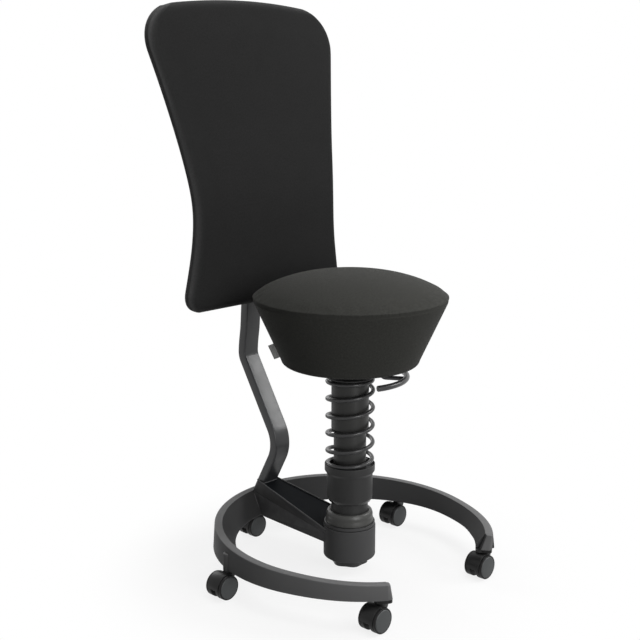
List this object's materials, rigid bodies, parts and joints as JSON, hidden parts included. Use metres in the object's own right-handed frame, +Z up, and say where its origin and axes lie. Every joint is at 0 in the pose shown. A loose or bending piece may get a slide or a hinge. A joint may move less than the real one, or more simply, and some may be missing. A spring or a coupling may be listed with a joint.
{
  "type": "spring balance stool",
  "caption": "Balance stool: round domed seat on a coil-spring strut over a swing joint, open C-shaped foot ring on castors, tall waisted backrest on a bent bar.",
  "frame": {"origin": "on the floor, under the axis of the upright strut", "axes": "+Z up along the strut, -Y to the front where the foot ring is open, +Y to the backrest"},
  "size_m": [0.5932, 0.5789, 1.1685],
  "materials": {
    "frame_paint": "satin dark grey powder coat",
    "strut_paint": "smooth black coat",
    "spring_steel": "dark oiled spring wire",
    "bare_steel": "plain zinc-plated steel",
    "soft_rubber": "smooth black rubber",
    "black_plastic": "fine-grained black moulding",
    "wheel_plastic": "dark grey moulded wheel",
    "bush_plastic": "plain slide bush",
    "seat_fabric": "dark grey felted cover",
    "back_fabric": "black twill cover",
    "board_wood": "bare plywood"
  },
  "bodies": {
    "base": {"foot_ring": "frame_paint", "foot_arm": "frame_paint", "hub_cup": "frame_paint", "hub_seal": "black_plastic", "lower_yoke": "bare_steel", "swing_buffer": "soft_rubber", "back_bracket": "frame_paint", "bracket_bolt_front": "bare_steel", "bracket_bolt_rear": "bare_steel", "back_bar": "frame_paint"},
    "tilt_adjuster": {"tilt_knob": "black_plastic"},
    "swing_link": {"swing_cross": "spring_steel"},
    "strut_low": {"upper_yoke": "bare_steel", "swing_dome": "soft_rubber", "lower_tube": "strut_paint"},
    "spring_perch": {"spring_sleeve": "black_plastic"},
    "strut_high": {"upper_tube": "strut_paint", "guide_bush": "bush_plastic", "spring_collar": "black_plastic", "coil_spring": "spring_steel", "gas_tube": "strut_paint", "gas_bush": "bush_plastic"},
    "lift_rod": {"piston_rod": "bare_steel"},
    "seat": {"gas_cylinder": "strut_paint", "seat_pan": "bare_steel", "seat_board": "board_wood", "seat_cushion": "seat_fabric", "seat_base_cover": "black_plastic", "lever_pin": "bare_steel"},
    "lever": {"release_lever": "spring_steel"},
    "valve": {"valve_button": "bare_steel"},
    "backrest": {"back_cushion": "back_fabric", "back_shell": "black_plastic", "back_sleeve": "black_plastic"},
    "back_clamp": {"clamp_knob": "black_plastic"},
    "castor_back": {"castor_stem_back": "bare_steel", "castor_hood_back": "black_plastic", "castor_axle_back": "bare_steel"},
    "wheel_front_back": {"castor_wheel_front_back": "wheel_plastic"},
    "wheel_rear_back": {"castor_wheel_rear_back": "wheel_plastic"},
    "castor_side_right": {"castor_stem_side_right": "bare_steel", "castor_hood_side_right": "black_plastic", "castor_axle_side_right": "bare_steel"},
    "wheel_front_side_right": {"castor_wheel_front_side_right": "wheel_plastic"},
    "wheel_rear_side_right": {"castor_wheel_rear_side_right": "wheel_plastic"},
    "castor_side_left": {"castor_stem_side_left": "bare_steel", "castor_hood_side_left": "black_plastic", "castor_axle_side_left": "bare_steel"},
    "wheel_front_side_left": {"castor_wheel_front_side_left": "wheel_plastic"},
    "wheel_rear_side_left": {"castor_wheel_rear_side_left": "wheel_plastic"},
    "castor_front_right": {"castor_stem_front_right": "bare_steel", "castor_hood_front_right": "black_plastic", "castor_axle_front_right": "bare_steel"},
    "wheel_front_front_right": {"castor_wheel_front_front_right": "wheel_plastic"},
    "wheel_rear_front_right": {"castor_wheel_rear_front_right": "wheel_plastic"},
    "castor_front_left": {"castor_stem_front_left": "bare_steel", "castor_hood_front_left": "black_plastic", "castor_axle_front_left": "bare_steel"},
    "wheel_front_front_left": {"castor_wheel_front_front_left": "wheel_plastic"},
    "wheel_rear_front_left": {"castor_wheel_rear_front_left": "wheel_plastic"}
  },
  "joints": [
    {"name": "tilt_adjust", "type": "hinge", "parent": "base", "child": "tilt_adjuster", "pos_m": [0, 0, 0.031], "axis": [0, 0, 1], "range_deg": [-180, 180]},
    {"name": "swing_fore", "type": "hinge", "parent": "base", "child": "swing_link", "pos_m": [0, 0, 0.104], "axis": [1, 0, 0], "range_deg": [-1, 8], "stiffness_Nm_per_rad": 250},
    {"name": "swing_side", "type": "hinge", "parent": "swing_link", "child": "strut_low", "pos_m": [0, 0, 0.104], "axis": [0, 1, 0], "range_deg": [-8, 8], "stiffness_Nm_per_rad": 250},
    {"name": "perch_turn", "type": "hinge", "parent": "strut_low", "child": "spring_perch", "pos_m": [0, 0, 0.19], "axis": [0, 0, 1], "range_deg": [-180, 180]},
    {"name": "bounce", "type": "slide", "parent": "strut_low", "child": "strut_high", "axis": [0, 0, 1], "range_m": [-0.045, 0], "stiffness_N_per_m": 18000, "springref_m": 0.012, "deforming": ["coil_spring"]},
    {"name": "seat_swivel", "type": "hinge", "parent": "strut_high", "child": "lift_rod", "pos_m": [0, 0, 0.3], "axis": [0, 0, 1], "continuous": true},
    {"name": "seat_height", "type": "slide", "parent": "lift_rod", "child": "seat", "axis": [0, 0, 1], "range_m": [0, 0.09]},
    {"name": "lever_lift", "type": "hinge", "parent": "seat", "child": "lever", "pos_m": [0.023, -0.03984, 0.47436], "axis": [-0.866, -0.5, 0], "range_deg": [0, 4.5], "stiffness_Nm_per_rad": 2},
    {"name": "valve_press", "type": "slide", "parent": "seat", "child": "valve", "axis": [0, 0, 1], "range_m": [-0.004, 0]},
    {"name": "back_height", "type": "slide", "parent": "base", "child": "backrest", "axis": [0, -0.0698, 0.9976], "range_m": [0, 0.06]},
    {"name": "clamp_turn", "type": "hinge", "parent": "backrest", "child": "back_clamp", "pos_m": [0, 0.30025, 0.65], "axis": [0, 0.9976, 0.0698], "range_deg": [-180, 180]},
    {"name": "swivel_back", "type": "hinge", "parent": "base", "child": "castor_back", "pos_m": [0, 0.279, 0.0525], "axis": [0, 0, 1], "continuous": true},
    {"name": "roll_front_back", "type": "hinge", "parent": "castor_back", "child": "wheel_front_back", "pos_m": [-0.018, 0.279, 0.025], "axis": [0, 1, 0], "continuous": true},
    {"name": "roll_rear_back", "type": "hinge", "parent": "castor_back", "child": "wheel_rear_back", "pos_m": [-0.018, 0.279, 0.025], "axis": [0, 1, 0], "continuous": true},
    {"name": "swivel_side_right", "type": "hinge", "parent": "base", "child": "castor_side_right", "pos_m": [-0.26534, 0.08622, 0.0525], "axis": [0, 0, 1], "continuous": true},
    {"name": "roll_front_side_right", "type": "hinge", "parent": "castor_side_right", "child": "wheel_front_side_right", "pos_m": [-0.28335, 0.08622, 0.025], "axis": [0, 1, 0], "continuous": true},
    {"name": "roll_rear_side_right", "type": "hinge", "parent": "castor_side_right", "child": "wheel_rear_side_right", "pos_m": [-0.28335, 0.08622, 0.025], "axis": [0, 1, 0], "continuous": true},
    {"name": "swivel_side_left", "type": "hinge", "parent": "base", "child": "castor_side_left", "pos_m": [0.26534, 0.08622, 0.0525], "axis": [0, 0, 1], "continuous": true},
    {"name": "roll_front_side_left", "type": "hinge", "parent": "castor_side_left", "child": "wheel_front_side_left", "pos_m": [0.24735, 0.08622, 0.025], "axis": [0, 1, 0], "continuous": true},
    {"name": "roll_rear_side_left", "type": "hinge", "parent": "castor_side_left", "child": "wheel_rear_side_left", "pos_m": [0.24735, 0.08622, 0.025], "axis": [0, 1, 0], "continuous": true},
    {"name": "swivel_front_right", "type": "hinge", "parent": "base", "child": "castor_front_right", "pos_m": [-0.16664, -0.22936, 0.0525], "axis": [0, 0, 1], "continuous": true},
    {"name": "roll_front_front_right", "type": "hinge", "parent": "castor_front_right", "child": "wheel_front_front_right", "pos_m": [-0.18464, -0.22936, 0.025], "axis": [0, 1, 0], "continuous": true},
    {"name": "roll_rear_front_right", "type": "hinge", "parent": "castor_front_right", "child": "wheel_rear_front_right", "pos_m": [-0.18464, -0.22936, 0.025], "axis": [0, 1, 0], "continuous": true},
    {"name": "swivel_front_left", "type": "hinge", "parent": "base", "child": "castor_front_left", "pos_m": [0.16664, -0.22936, 0.0525], "axis": [0, 0, 1], "continuous": true},
    {"name": "roll_front_front_left", "type": "hinge", "parent": "castor_front_left", "child": "wheel_front_front_left", "pos_m": [0.14864, -0.22936, 0.025], "axis": [0, 1, 0], "continuous": true},
    {"name": "roll_rear_front_left", "type": "hinge", "parent": "castor_front_left", "child": "wheel_rear_front_left", "pos_m": [0.14864, -0.22936, 0.025], "axis": [0, 1, 0], "continuous": true}
  ],
  "couplings": [
    {"joint": "valve_press", "follows": "lever_lift", "m_per_rad": -0.046}
  ]
}
